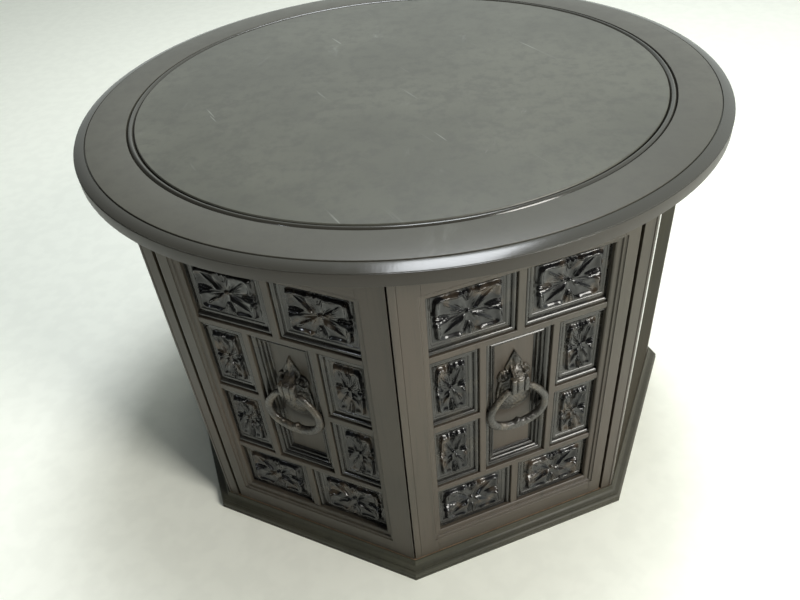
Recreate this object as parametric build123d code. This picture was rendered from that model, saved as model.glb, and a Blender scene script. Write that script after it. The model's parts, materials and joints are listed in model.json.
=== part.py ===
from build123d import *
import math
import os

# Octagonal drum table with two doors, a corner facing the front.
# Origin on the floor under the middle, +Z up, front corner towards -Y, millimetres.

# Overall
TABLE_HEIGHT = 492.0
BODY_RADIUS = 370.5          # corner radius of the octagonal body

# Round top
TOP_OVERHANG = 18.5          # top beyond the corners of the body
NOSING_WIDTH = 14.0
RIM_WIDTH = 68.5             # from the edge to the inset panel
TOP_THICKNESS = 18.0
QUIRK_DEPTH = 0.8            # small step where the nosing starts
QUIRK_WIDTH = 1.0
NOSING_DROP = 3.2
ARRIS_STEP = 0.6
PANEL_THICKNESS = 12.0
BEAD_WIDTH = 8.0
BEAD_DROP = 1.6
RABBET_LEDGE = 20.0          # ledge of the rim under the panel
INLAY_GAP = 0.3

# Carcass
BOARD = 18.0                 # side panels and posts
POST_WIDTH = 15.6            # post width along each face
POST_NOSE = 3.4
POST_QUIRK = 0.9
POST_QUIRK_OFFSET = 3.3
BASE_HEIGHT = 21.0           # top of the bottom board
BASE_BOARD = 12.0
UPPER_FRAME_THICKNESS = 18.0
UPPER_FRAME_WIDTH = 50.0
SHELF_LEVEL = 238.0
SHELF_THICKNESS = 16.0
SHELF_SETBACK = 36.0         # behind the door faces
SHELF_CLEARANCE = 0.6
SHELF_PIN_RADIUS = 3.0
SHELF_PIN_DEPTH = 10.0
SHELF_PIN_REACH = 12.0
FRAME_SETBACK = 2.0          # upper frame behind the door backs

# Base moulding, outwards from the body face
PLINTH_OUT = 14.3
PLINTH_BED = 12.3            # part under the bottom board
PLINTH_TOE = 3.6
PLINTH_TORUS_OUT = 8.8
PLINTH_FILLET_LEVEL = 12.4

# Doors
DOOR_FLOOR_GAP = 2.0
DOOR_HEAD_GAP = 3.0
SEAM_GAP = 1.8
MEETING_GAP = 1.6
STRIP_WIDTH = 9.4            # meeting strip on the right door
MEETING_STILE = 29.0
HINGE_STILE = 15.7
BOTTOM_RAIL = 24.0
TOP_RAIL = 34.0
FRAME_THICKNESS = 24.0
BACK_THICKNESS = 4.0
BACK_MARGIN = 4.0
DOOR_ROUND = 4.0
STICKING_WIDTH = 3.5         # rounded edge around the tile field
FIELD_DEPTH = 6.5            # bars below the door face
BAR = 8.0
MIDDLE_BAR = 9.0
END_ROW = 82.5
CENTRE_WIDTH = 77.0
MEETING_REACH = 40.0         # stock that the mitre at the front corner cuts away

# Mouldings in the fields
TILE_BORDER = 13.0
TILE_DEPTH = 12.5            # tile edge below the door face
CENTRE_BORDER = 15.5
CENTRE_DEPTH = 19.5
BORDER_EASE = 0.8            # outer front edges of the mouldings
FUNNEL_MOUTH = 1.0
RELIEF = 4.5
LOBE_TAPER = 32.0
BOSS_RADIUS = 4.0
BOSS_HEIGHT = 5.5

# Pivots
PIVOT_EDGE = 6.0             # axis from the hinge edge
PIVOT_DEPTH = 7.0            # axis behind the face
PIVOT_RADIUS = 2.5
PIVOT_SEAT = 10.0
PIVOT_REACH = 16.0
PIVOT_CLEARANCE = 0.06
SEAT_CLEARANCE = 0.03
BUSH_WALL = 1.4
WASHER_WALL = 2.6
WASHER_GAP = 0.3

# Catches
CATCH_WIDTH = 40.0
CATCH_HEIGHT = 12.0
CATCH_LENGTH = 16.0
CATCH_FROM_CORNER = 60.0
CATCH_GAP = 0.4
STRIKE_WIDTH = 30.0
STRIKE_HEIGHT = 10.0
STRIKE_THICKNESS = 1.2

# Ring pulls
PULL_HEAD_MARGIN = 13.5      # plate tip below the top of the centre panel
PULL_DEPTH = 5.5             # ring's axis behind the door face
PLATE_THICKNESS = 3.0
PLATE_TOP = 48.0
PLATE_BOTTOM = 46.0
PLATE_WIDE = 29.0
PLATE_NECK = 12.0
PLATE_NECK_LEVEL = 2.0
PLATE_SHOULDER = 14.0
PLATE_HIP = 30.0
PLATE_SLANT = 0.72
LOBE_RADIUS = 12.0
LOBE_OFFSET = 10.0
LOBE_LEVEL = 18.0
BRACKET_WIDTH = 21.0
BRACKET_ABOVE = 17.0
BRACKET_BELOW = 4.6
BRACKET_FRONT = 4.5
ROLLS = 3
RING_MARGIN = 5.5            # ring's middle line inside the opening of the centre
RING_NECK = 8.5
RING_NECK_DROP = 9.0
RING_SHOULDER = 26.0         # drops of the ring's corners below its axis
RING_HIP = 42.0
RING_DROP = 58.0
RING_FOOT = 13.0
RING_RADIUS = 4.3
RING_BAR_RADIUS = 3.0
RING_BAR_CLEARANCE = 0.08
RING_SIDE_GAP = 0.4
PULL_SCREW_RADIUS = 2.0
PULL_SCREW_HEAD = 4.0
PULL_SCREW_HEAD_HEIGHT = 2.4
PULL_SCREW_RISE = 9.0        # above the ring's axis

# Screws of the top
SCREW_RADIUS = 2.0
SCREW_HEAD_RADIUS = 4.0
SCREW_HEAD_HEIGHT = 3.0
SCREW_BITE = 11.0
SCREW_INSET = 13.0

# Slopes towards a field, as shares of the moulding's width and depth
STICKING_SLOPE = [(0, 0.17), (0.16, 0.19), (0.47, 0.26), (0.77, 0.45), (0.94, 0.71), (1, 1)]
TILE_SLOPE = [(0.24, 0.33), (0.43, 0.42), (0.54, 0.62), (0.56, 0.75), (0.85, 0.82), (1, 1)]
CENTRE_SLOPE = [(0.20, 0.26), (0.39, 0.38), (0.41, 0.51), (0.63, 0.54), (0.65, 0.72), (0.83, 0.75),
                (0.85, 0.92), (1, 1)]

RING_HALF_WIDTH = CENTRE_WIDTH / 2 - RING_MARGIN
EDGE_RADIUS = BODY_RADIUS + TOP_OVERHANG
FLAT_RADIUS = EDGE_RADIUS - NOSING_WIDTH
PANEL_RADIUS = EDGE_RADIUS - RIM_WIDTH

HALF = math.radians(22.5)
APOTHEM = BODY_RADIUS * math.cos(HALF)
FACE_WIDTH = 2 * BODY_RADIUS * math.sin(HALF)
TOP_UNDER = TABLE_HEIGHT - TOP_THICKNESS
INNER_APOTHEM = APOTHEM - BOARD
DOOR_THICKNESS = FRAME_THICKNESS + BACK_THICKNESS
DOOR_BOTTOM = BASE_HEIGHT + DOOR_FLOOR_GAP
DOOR_TOP = TOP_UNDER - DOOR_HEAD_GAP
DOOR_EDGE = FACE_WIDTH - POST_WIDTH - SEAM_GAP
PIVOT_U = DOOR_EDGE - PIVOT_EDGE
SIDE_FACES = range(1, 7)
REAR_CORNERS = range(2, 7)

# Tile field of a door: left, right, bottom and top edge at bar level
FIELD_LEFT = MEETING_STILE + STICKING_WIDTH
FIELD_RIGHT = DOOR_EDGE - HINGE_STILE - STICKING_WIDTH
FIELD_BOTTOM = DOOR_BOTTOM + BOTTOM_RAIL + STICKING_WIDTH
FIELD_TOP = DOOR_TOP - TOP_RAIL - STICKING_WIDTH
FIELD_MIDDLE = (FIELD_LEFT + FIELD_RIGHT) / 2
MIDDLE_LEVEL = (FIELD_BOTTOM + FIELD_TOP) / 2

# Height of the ring's axis
CENTRE_HEAD = FIELD_TOP - END_ROW - BAR - CENTRE_BORDER
PULL_LEVEL = CENTRE_HEAD - PULL_HEAD_MARGIN - PLATE_TOP


def block(x0, x1, y0, y1, z0, z1):
    """Box between two corners."""
    box = Box(x1 - x0, y1 - y0, z1 - z0)
    return Pos((x0 + x1) / 2, (y0 + y1) / 2, (z0 + z1) / 2) * box


def prism(points, z0, z1):
    """Upright prism over a polygon in plan."""
    face = make_face(Polyline(*points, close=True))
    return Pos(0, 0, z0) * extrude(face, amount=z1 - z0)


def rod(radius, z0, z1):
    """Upright cylinder on the Z axis."""
    return Pos(0, 0, (z0 + z1) / 2) * Cylinder(radius, z1 - z0)


def face_angle(k):
    """Direction of a face's normal; faces -1 and 0 are the doors."""
    return -67.5 + 45 * k


def corner_angle(k):
    """Direction of a corner; corner 0 is the front one."""
    return -90 + 45 * k


def turned(shape, angle):
    return Rot(0, 0, angle) * shape


def octagon(side, front):
    """Plan points of an octagon with its own apothem for the two door faces."""
    points = []
    for k in range(8):
        first = front if k - 1 in (-1, 0) else side
        second = front if k in (0, 7) else side
        a = math.radians(face_angle(k - 1))
        b = math.radians(face_angle(k))
        det = math.sin(b - a)
        x = (first * math.sin(b) - second * math.sin(a)) / det
        y = (second * math.cos(a) - first * math.cos(b)) / det
        points.append((x, y))
    return points


def door_place(u, depth, z):
    """Point on the right door's face frame, as a location in the table's frame."""
    origin = Location((0, -BODY_RADIUS, 0), (0, 0, 22.5))
    return origin * Pos(u, depth, z)


def on_right(shape):
    return door_place(0, 0, 0) * shape


def to_left(shape):
    return mirror(shape, about=Plane.YZ)


def both_sides(shapes):
    placed = [on_right(s) for s in shapes]
    return Compound(children=placed + [to_left(s) for s in placed])


def merged(shapes):
    total = shapes[0]
    for shape in shapes[1:]:
        total = total + shape
    return total


# ---------------------------------------------------------------- top

def pivot_point(z):
    return door_place(PIVOT_U, PIVOT_DEPTH, z)


def pivot_holes(radius, z0, z1):
    hole = pivot_point(0) * rod(radius, z0, z1)
    return [hole, to_left(hole)]


def top_rim():
    """Flat ring with a quirk, a rounded nosing and a square band below it."""
    inner = PANEL_RADIUS + BEAD_WIDTH + 2 * INLAY_GAP
    ledge = PANEL_RADIUS - RABBET_LEDGE
    rabbet = TABLE_HEIGHT - PANEL_THICKNESS
    start = FLAT_RADIUS + QUIRK_WIDTH
    end = EDGE_RADIUS - ARRIS_STEP
    quirk = TABLE_HEIGHT - QUIRK_DEPTH
    drop = TABLE_HEIGHT - NOSING_DROP
    bulge = (start + 1.2 * end) / 2.2
    crown = quirk - 0.25 * (quirk - drop)
    outline = Polyline(
        (start, quirk), (FLAT_RADIUS, quirk), (FLAT_RADIUS, TABLE_HEIGHT), (inner, TABLE_HEIGHT),
        (inner, rabbet), (ledge, rabbet), (ledge, TOP_UNDER), (EDGE_RADIUS - ARRIS_STEP, TOP_UNDER),
        (EDGE_RADIUS, TOP_UNDER + ARRIS_STEP), (EDGE_RADIUS, drop - ARRIS_STEP), (end, drop - ARRIS_STEP),
        (end, drop))
    nosing = ThreePointArc((end, drop), (bulge, crown), (start, quirk))
    section = Plane.XZ * make_face([outline, nosing])
    rim = revolve(section, Axis.Z)
    seats = pivot_holes(PIVOT_RADIUS + SEAT_CLEARANCE, TOP_UNDER - 1, TOP_UNDER + PIVOT_SEAT)
    bores = [screw_place(k) * rod(SCREW_RADIUS, TOP_UNDER - 1, TOP_UNDER + SCREW_BITE) for k in SCREW_CORNERS]
    return rim - seats - bores


def top_panel():
    """Disc inlaid in the middle of the top."""
    bottom = TABLE_HEIGHT - PANEL_THICKNESS
    disc = rod(PANEL_RADIUS, bottom, TABLE_HEIGHT)
    return chamfer(disc.edges().group_by(Axis.Z)[-1], 0.6)


def top_bead():
    """Half-round bead between the panel and the rim."""
    inner = PANEL_RADIUS + INLAY_GAP
    outer = inner + BEAD_WIDTH
    bottom = TABLE_HEIGHT - PANEL_THICKNESS
    shoulder = TABLE_HEIGHT - BEAD_DROP
    crown = TABLE_HEIGHT - 0.2
    sides = Polyline((inner, shoulder), (inner, bottom), (outer, bottom), (outer, shoulder))
    arc = ThreePointArc((outer, shoulder), ((inner + outer) / 2, crown), (inner, shoulder))
    return revolve(Plane.XZ * make_face([sides, arc]), Axis.Z)


# ---------------------------------------------------------------- carcass

SCREW_CORNERS = range(1, 8)


def screw_place(k):
    radius = INNER_APOTHEM / math.cos(HALF) - SCREW_INSET
    angle = math.radians(corner_angle(k))
    return Pos(radius * math.cos(angle), radius * math.sin(angle), 0)


def corner_post(k):
    """Post around one corner, with a bead between two quirks on the outer corner."""
    s, c = math.sin(HALF), math.cos(HALF)
    ax, ay = BODY_RADIUS - POST_WIDTH * s, POST_WIDTH * c
    bx, by = ax - BOARD * c, ay - BOARD * s
    inner = INNER_APOTHEM / c
    plan = [(ax, -ay), (BODY_RADIUS, 0), (ax, ay), (bx, by), (inner, 0), (bx, -by)]
    post = prism(plan, BASE_HEIGHT, TOP_UNDER)
    nose = post.edges().filter_by(Axis.Z).sort_by(Axis.X)[-1]
    post = fillet(nose, POST_NOSE)
    for side in (-1, 1):
        qx = BODY_RADIUS - POST_QUIRK_OFFSET * s
        qy = side * POST_QUIRK_OFFSET * c
        post = post - Pos(qx, qy, 0) * rod(POST_QUIRK, BASE_HEIGHT - 1, TOP_UNDER + 1)
    return turned(post, corner_angle(k))


def side_panel(k):
    """Flat board between two posts, bored for its shelf pin."""
    half = FACE_WIDTH / 2 - POST_WIDTH
    panel = block(INNER_APOTHEM, APOTHEM, -half, half, BASE_HEIGHT, TOP_UNDER)
    return turned(panel - shelf_pin(SHELF_PIN_RADIUS + SEAT_CLEARANCE), face_angle(k))


def shelf_pin(radius):
    """Dowel under the shelf, on the face whose normal is +X."""
    pin = Cylinder(radius, SHELF_PIN_DEPTH + SHELF_PIN_REACH, rotation=(0, 90, 0))
    middle = INNER_APOTHEM + (SHELF_PIN_DEPTH - SHELF_PIN_REACH) / 2
    return Pos(middle, 0, SHELF_LEVEL - SHELF_PIN_RADIUS) * pin


def shelf_pins():
    pins = [turned(shelf_pin(SHELF_PIN_RADIUS), face_angle(k)) for k in SIDE_FACES]
    return Compound(children=pins)


def shelf():
    plan = octagon(INNER_APOTHEM - SHELF_CLEARANCE, APOTHEM - SHELF_SETBACK)
    return prism(plan, SHELF_LEVEL, SHELF_LEVEL + SHELF_THICKNESS)


def bottom_board():
    """Octagonal floor of the cabinet, bored for the lower pivots."""
    level = BASE_HEIGHT - BASE_BOARD
    board = prism(octagon(APOTHEM, APOTHEM), level, BASE_HEIGHT)
    return board - pivot_holes(PIVOT_RADIUS + SEAT_CLEARANCE, level - 1, BASE_HEIGHT + 1)


def upper_frame():
    """Octagonal frame under the top, inside the side panels and behind the doors."""
    front = APOTHEM - DOOR_THICKNESS - FRAME_SETBACK
    outer = octagon(INNER_APOTHEM, front)
    inner = octagon(INNER_APOTHEM - UPPER_FRAME_WIDTH, front - UPPER_FRAME_WIDTH)
    bottom = TOP_UNDER - UPPER_FRAME_THICKNESS
    frame = prism(outer, bottom, TOP_UNDER) - prism(inner, bottom - 1, TOP_UNDER + 1)
    bores = [screw_place(k) * rod(SCREW_RADIUS, bottom - 1, TOP_UNDER + 1) for k in SCREW_CORNERS]
    return frame - bores


def top_screws():
    """Pan-head screws that hold the top to the frame."""
    bottom = TOP_UNDER - UPPER_FRAME_THICKNESS
    shank = rod(SCREW_RADIUS, bottom, TOP_UNDER + SCREW_BITE)
    head = rod(SCREW_HEAD_RADIUS, bottom - SCREW_HEAD_HEIGHT, bottom)
    screw = shank + head
    return Compound(children=[screw_place(k) * screw for k in SCREW_CORNERS])


def plinth_section():
    """Base moulding: ledge, cove, fillet, torus and toe, from the top down."""
    top = BASE_HEIGHT
    bed = BASE_HEIGHT - BASE_BOARD
    fillet_z = PLINTH_FILLET_LEVEL
    torus = PLINTH_TORUS_OUT
    low = PLINTH_TOE
    cove_out = torus - 2.3
    steps = Polyline((0, top), (0, bed), (-PLINTH_BED, bed), (-PLINTH_BED, 0), (PLINTH_OUT, 0),
                     (PLINTH_OUT, low), (PLINTH_OUT - 1.1, low))
    round_over = ThreePointArc((PLINTH_OUT - 1.1, low), (PLINTH_OUT - 1.0, low + 4.4), (torus, fillet_z - 1.8))
    riser = Polyline((torus, fillet_z - 1.8), (torus, fillet_z), (cove_out, fillet_z))
    cove = ThreePointArc((cove_out, fillet_z), (3.2, fillet_z + 3.6), (1.6, top))
    ledge = Line((1.6, top), (0, top))
    return make_face([steps, round_over, riser, cove, ledge])


def plinth_length(k):
    """One of the eight lengths of base moulding, mitred at both ends."""
    reach = (APOTHEM + PLINTH_OUT) * math.tan(HALF) + 1
    section = Plane(origin=(APOTHEM, -reach, 0), x_dir=(1, 0, 0), z_dir=(0, -1, 0)) * plinth_section()
    length = extrude(section, amount=-2 * reach)
    far = (APOTHEM + PLINTH_OUT + 5) * 1.1
    wedge = prism([(0, 0), (far, -far * math.tan(HALF)), (far, far * math.tan(HALF))], -1, BASE_HEIGHT + 1)
    return turned(length & wedge, face_angle(k))


def plinth():
    return Compound(children=[plinth_length(k) for k in range(8)])


# ---------------------------------------------------------------- pivots and catches

def pivot_pins():
    """Steel pins in the floor and in the top that the doors turn on."""
    low = rod(PIVOT_RADIUS, BASE_HEIGHT - PIVOT_SEAT, DOOR_BOTTOM + PIVOT_REACH)
    high = rod(PIVOT_RADIUS, DOOR_TOP - PIVOT_REACH, TOP_UNDER + PIVOT_SEAT)
    pins = [pivot_point(0) * low, pivot_point(0) * high]
    return Compound(children=pins + [to_left(p) for p in pins])


def pivot_washers():
    """Washers that carry the doors on the lower pins."""
    ring = rod(PIVOT_RADIUS + WASHER_WALL, BASE_HEIGHT, DOOR_BOTTOM - WASHER_GAP)
    ring = ring - rod(PIVOT_RADIUS + SEAT_CLEARANCE, BASE_HEIGHT - 1, DOOR_BOTTOM)
    washer = pivot_point(0) * ring
    return Compound(children=[washer, to_left(washer)])


def pivot_bushes():
    """Two sleeves let into the ends of the hinge stile."""
    wall = PIVOT_RADIUS + PIVOT_CLEARANCE + BUSH_WALL
    bore = PIVOT_RADIUS + PIVOT_CLEARANCE
    low = rod(wall, DOOR_BOTTOM, DOOR_BOTTOM + PIVOT_REACH + 1) - rod(bore, 0, TABLE_HEIGHT)
    high = rod(wall, DOOR_TOP - PIVOT_REACH - 1, DOOR_TOP) - rod(bore, 0, TABLE_HEIGHT)
    place = Pos(PIVOT_U, PIVOT_DEPTH, 0)
    return Compound(children=[place * low, place * high])


def catch_level():
    return TOP_UNDER - UPPER_FRAME_THICKNESS - CATCH_HEIGHT / 2


def strike():
    half = STRIKE_WIDTH / 2
    z = catch_level()
    back = DOOR_THICKNESS
    return block(CATCH_FROM_CORNER - half, CATCH_FROM_CORNER + half, back, back + STRIKE_THICKNESS,
                 z - STRIKE_HEIGHT / 2, z + STRIKE_HEIGHT / 2)


def magnetic_catches():
    """A catch under the upper frame behind each door."""
    front = DOOR_THICKNESS + STRIKE_THICKNESS + CATCH_GAP
    half = CATCH_WIDTH / 2
    z = catch_level()
    body = block(CATCH_FROM_CORNER - half, CATCH_FROM_CORNER + half, front, front + CATCH_LENGTH,
                 z - CATCH_HEIGHT / 2, z + CATCH_HEIGHT / 2)
    return both_sides([body])


# ---------------------------------------------------------------- door, in its face frame
# X runs along the face from the front corner, Y is the depth behind the face.

def mitred(shape):
    """Cut the meeting edge back from the plane that halves the front corner."""
    gap = MEETING_GAP / 2 / math.cos(HALF)
    deep = DOOR_THICKNESS + 10
    lean = math.tan(HALF)
    far = -1.5 * MEETING_REACH
    cutter = [(far, -5), (gap - 5 * lean, -5), (gap + deep * lean, deep), (far, deep)]
    return shape - prism(cutter, 0, TABLE_HEIGHT)


def field_cut():
    """Opening with a rounded edge that the frame leaves for the tile field."""
    w = STICKING_WIDTH
    edge = funnel((FIELD_LEFT - w, FIELD_RIGHT + w, FIELD_BOTTOM - w, FIELD_TOP + w), w, 0, FIELD_DEPTH,
                  STICKING_SLOPE)
    through = block(FIELD_LEFT, FIELD_RIGHT, FIELD_DEPTH - 0.1, FRAME_THICKNESS + 1, FIELD_BOTTOM, FIELD_TOP)
    return [edge, through]


def rectangle_at(x0, x1, z0, z1, depth):
    points = [(x0, depth, z0), (x1, depth, z0), (x1, depth, z1), (x0, depth, z1)]
    return make_face(Polyline(*points, close=True))


def funnel(cell, width, front, back, slope):
    """Cut that narrows by the width on each side, from the front level to the back level."""
    x0, x1, z0, z1 = cell
    points = [(width * a, front + (back - front) * d) for a, d in slope]
    points.insert(0, (points[0][0], front - FUNNEL_MOUTH))
    rings = [rectangle_at(x0 + a, x1 - a, z0 + a, z1 - a, d) for a, d in points]
    return loft(rings, ruled=True)


def hinge_stile():
    left = DOOR_EDGE - HINGE_STILE - STICKING_WIDTH
    stile = block(left, DOOR_EDGE, 0, FRAME_THICKNESS, DOOR_BOTTOM, DOOR_TOP)
    edge = stile.edges().filter_by(Axis.Z).sort_by(Axis.Y)[:2].sort_by(Axis.X)[-1]
    stile = fillet(edge, DOOR_ROUND)
    sleeve = PIVOT_RADIUS + PIVOT_CLEARANCE + BUSH_WALL
    depth = PIVOT_REACH + 1
    place = Pos(PIVOT_U, PIVOT_DEPTH, 0)
    seats = [place * rod(sleeve, DOOR_BOTTOM - 1, DOOR_BOTTOM + depth),
             place * rod(sleeve, DOOR_TOP - depth, DOOR_TOP + 1)]
    return stile - seats - field_cut()


def meeting_stile(first):
    """Stile at the front corner; it starts behind the strip or at the mitre."""
    stile = block(first, FIELD_LEFT, 0, FRAME_THICKNESS, DOOR_BOTTOM, DOOR_TOP)
    return mitred(stile) - field_cut()


def meeting_strip():
    """Cover strip on the meeting edge of the right door."""
    strip = mitred(block(-MEETING_REACH, STRIP_WIDTH, 0, FRAME_THICKNESS, DOOR_BOTTOM, DOOR_TOP))
    edges = strip.edges().filter_by(Axis.Z).sort_by(Axis.Y)[:2]
    return chamfer(edges, 0.5)


def rail(z0, z1):
    piece = block(FIELD_LEFT, FIELD_RIGHT, 0, FRAME_THICKNESS, z0, z1)
    return piece - field_cut()


def bottom_rail():
    return rail(DOOR_BOTTOM, FIELD_BOTTOM)


def top_rail():
    return rail(FIELD_TOP, DOOR_TOP)


def back_board():
    """Thin board that closes the back of the door."""
    first = MEETING_STILE - 12
    last = DOOR_EDGE - BACK_MARGIN
    return block(first, last, FRAME_THICKNESS, DOOR_THICKNESS, DOOR_BOTTOM + BACK_MARGIN,
                 DOOR_TOP - BACK_MARGIN)


def side_column():
    return (FIELD_RIGHT - FIELD_LEFT - CENTRE_WIDTH - 2 * BAR) / 2


def middle_row():
    return (FIELD_TOP - FIELD_BOTTOM - 2 * END_ROW - 2 * BAR - MIDDLE_BAR) / 2


def lattice():
    """Bars that divide the field into eight tiles around a tall centre."""
    front, back = FIELD_DEPTH, FRAME_THICKNESS
    low = FIELD_BOTTOM + END_ROW
    high = FIELD_TOP - END_ROW
    side = side_column()
    half = MIDDLE_BAR / 2
    first, last = FIELD_LEFT + side, FIELD_RIGHT - side
    bars = [block(FIELD_LEFT, FIELD_RIGHT, front, back, low, low + BAR),
            block(FIELD_LEFT, FIELD_RIGHT, front, back, high - BAR, high),
            block(FIELD_MIDDLE - half, FIELD_MIDDLE + half, front, back, FIELD_BOTTOM, low),
            block(FIELD_MIDDLE - half, FIELD_MIDDLE + half, front, back, high, FIELD_TOP),
            block(first, first + BAR, front, back, low + BAR, high - BAR),
            block(last - BAR, last, front, back, low + BAR, high - BAR),
            block(FIELD_LEFT, first, front, back, MIDDLE_LEVEL - half, MIDDLE_LEVEL + half),
            block(last, FIELD_RIGHT, front, back, MIDDLE_LEVEL - half, MIDDLE_LEVEL + half)]
    return merged(bars)


def landscape_cells():
    """Openings of the four wide tiles: left, right, bottom, top."""
    half = MIDDLE_BAR / 2
    columns = [(FIELD_LEFT, FIELD_MIDDLE - half), (FIELD_MIDDLE + half, FIELD_RIGHT)]
    rows = [(FIELD_BOTTOM, FIELD_BOTTOM + END_ROW), (FIELD_TOP - END_ROW, FIELD_TOP)]
    return [c + r for r in rows for c in columns]


def portrait_cells():
    """Openings of the four tall tiles beside the centre."""
    side = side_column()
    row = middle_row()
    half = MIDDLE_BAR / 2
    columns = [(FIELD_LEFT, FIELD_LEFT + side), (FIELD_RIGHT - side, FIELD_RIGHT)]
    rows = [(MIDDLE_LEVEL - half - row, MIDDLE_LEVEL - half), (MIDDLE_LEVEL + half, MIDDLE_LEVEL + half + row)]
    return [c + r for r in rows for c in columns]


def centre_cell():
    half = CENTRE_WIDTH / 2
    reach = middle_row() + MIDDLE_BAR / 2
    return (FIELD_MIDDLE - half, FIELD_MIDDLE + half, MIDDLE_LEVEL - reach, MIDDLE_LEVEL + reach)


def border(cell, width, level, slope):
    """Picture-frame moulding from the bars down to a level, with a straight opening behind."""
    x0, x1, z0, z1 = cell
    crown = FIELD_DEPTH + (level - FIELD_DEPTH) * slope[0][1]
    body = block(x0, x1, crown, FRAME_THICKNESS, z0, z1)
    body = chamfer(body.faces().sort_by(Axis.Y)[0].edges(), BORDER_EASE)
    hole = block(x0 + width, x1 - width, level - 0.1, FRAME_THICKNESS + 1, z0 + width, z1 - width)
    return body - [funnel(cell, width, FIELD_DEPTH, level, slope), hole]


def tile_borders():
    cells = landscape_cells() + portrait_cells()
    return Compound(children=[border(c, TILE_BORDER, TILE_DEPTH, TILE_SLOPE) for c in cells])


def centre_border():
    """Deep stepped moulding around the centre panel."""
    return border(centre_cell(), CENTRE_BORDER, CENTRE_DEPTH, CENTRE_SLOPE)


def centre_panel():
    x0, x1, z0, z1 = centre_cell()
    b = CENTRE_BORDER
    panel = block(x0 + b, x1 - b, CENTRE_DEPTH, FRAME_THICKNESS, z0 + b, z1 - b)
    return panel - pull_screw(PULL_SCREW_RADIUS)


def carved_tile(cell):
    """Block with four ribbed lobes around a small boss."""
    x0, x1, z0, z1 = cell
    t = TILE_BORDER
    tile = block(x0 + t, x1 - t, TILE_DEPTH, FRAME_THICKNESS, z0 + t, z1 - t)
    cx, cz = (x0 + x1) / 2, (z0 + z1) / 2
    rx, rz = (x1 - x0) / 4 - t / 2, (z1 - z0) / 4 - t / 2
    plane = Plane(origin=(cx, TILE_DEPTH, cz), x_dir=(1, 0, 0), z_dir=(0, -1, 0))
    lobe = extrude(Ellipse(rx * 0.98, rz * 0.98), amount=RELIEF, taper=LOBE_TAPER)
    for sx in (-1, 1):
        for sz in (-1, 1):
            tile = tile + plane * Pos(sx * rx, sz * rz, 0) * lobe
    boss = Pos(0, 0, BOSS_HEIGHT / 2) * Cylinder(BOSS_RADIUS, BOSS_HEIGHT)
    return tile + plane * boss


def landscape_tiles():
    return Compound(children=[carved_tile(c) for c in landscape_cells()])


def portrait_tiles():
    return Compound(children=[carved_tile(c) for c in portrait_cells()])


# ---------------------------------------------------------------- ring pull, in the face frame

def pull_plane(depth):
    """Sketch plane facing outwards at a depth, centred on the ring's axis."""
    return Plane(origin=(FIELD_MIDDLE, depth, PULL_LEVEL), x_dir=(1, 0, 0), z_dir=(0, -1, 0))


def pull_plate():
    """Leaf-shaped plate: pointed tip, two side lobes and a widening tongue."""
    w = PLATE_WIDE
    slant = w * PLATE_SLANT
    tip = [(0, PLATE_TOP), (6, PLATE_TOP - 14), (LOBE_OFFSET, LOBE_LEVEL), (PLATE_NECK, PLATE_NECK_LEVEL),
           (slant, -PLATE_SHOULDER), (w, -PLATE_HIP), (slant, -PLATE_BOTTOM + 5), (0, -PLATE_BOTTOM)]
    right = tip[1:-1]
    left = [(-x, z) for x, z in reversed(right)]
    leaf = make_face(Polyline(tip[0], *right, tip[-1], *left, close=True))
    lobes = [Pos(side * LOBE_OFFSET, LOBE_LEVEL) * Circle(LOBE_RADIUS) for side in (-1, 1)]
    outline = leaf + lobes
    sides = CENTRE_WIDTH / 2 - CENTRE_BORDER - 0.4
    window = Rectangle(2 * sides, 2 * PLATE_TOP + 2 * PLATE_BOTTOM)
    plate = extrude(outline & window, amount=PLATE_THICKNESS)
    return pull_plane(CENTRE_DEPTH) * plate - pull_screw(PULL_SCREW_RADIUS)


def pull_bracket():
    """Block with three rolls in front and the bore for the ring's bar."""
    back = CENTRE_DEPTH - PLATE_THICKNESS
    front = PULL_DEPTH - BRACKET_FRONT
    half = BRACKET_WIDTH / 2
    roll = BRACKET_WIDTH / ROLLS / 2
    x0 = FIELD_MIDDLE - half
    low, high = PULL_LEVEL - BRACKET_BELOW, PULL_LEVEL + BRACKET_ABOVE
    body = block(x0, x0 + BRACKET_WIDTH, front + roll, back, low, high)
    for i in range(ROLLS):
        x = x0 + (2 * i + 1) * roll
        body = body + Pos(x, front + roll, 0) * rod(roll, low, high)
    bore = Pos(FIELD_MIDDLE, PULL_DEPTH, PULL_LEVEL) * Cylinder(
        RING_BAR_RADIUS + RING_BAR_CLEARANCE, BRACKET_WIDTH + 2, rotation=(0, 90, 0))
    return body - bore - pull_screw(PULL_SCREW_RADIUS)


def pull_ring():
    """Stirrup-shaped ring whose thin top bar turns in the bracket."""
    start = BRACKET_WIDTH / 2 + RING_SIDE_GAP + RING_RADIUS
    w, drop = RING_HALF_WIDTH, RING_DROP
    points = [(start, 0), (start + RING_NECK, -RING_NECK_DROP), (w, -RING_SHOULDER), (w, -RING_HIP),
              (w - RING_FOOT, -drop), (0, -drop)]
    half = FilletPolyline(*points, radius=[10, 14, 14, 13])
    tube = sweep(Plane(origin=half @ 0, z_dir=half % 0) * Circle(RING_RADIUS), path=half)
    side = tube + Pos(start, 0, 0) * Sphere(RING_RADIUS)
    bar = Cylinder(RING_BAR_RADIUS, 2 * start, rotation=(0, 90, 0))
    ring = side + mirror(side, about=Plane.YZ) + bar
    return pull_plane(PULL_DEPTH) * ring


def pull_screw(radius):
    """Screw from the back of the door into the bracket."""
    front = PULL_DEPTH + 2.0
    depth = DOOR_THICKNESS
    shank = Cylinder(radius, depth - front, rotation=(90, 0, 0))
    z = PULL_LEVEL + PULL_SCREW_RISE
    return Pos(FIELD_MIDDLE, (front + depth) / 2, z) * shank


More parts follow.
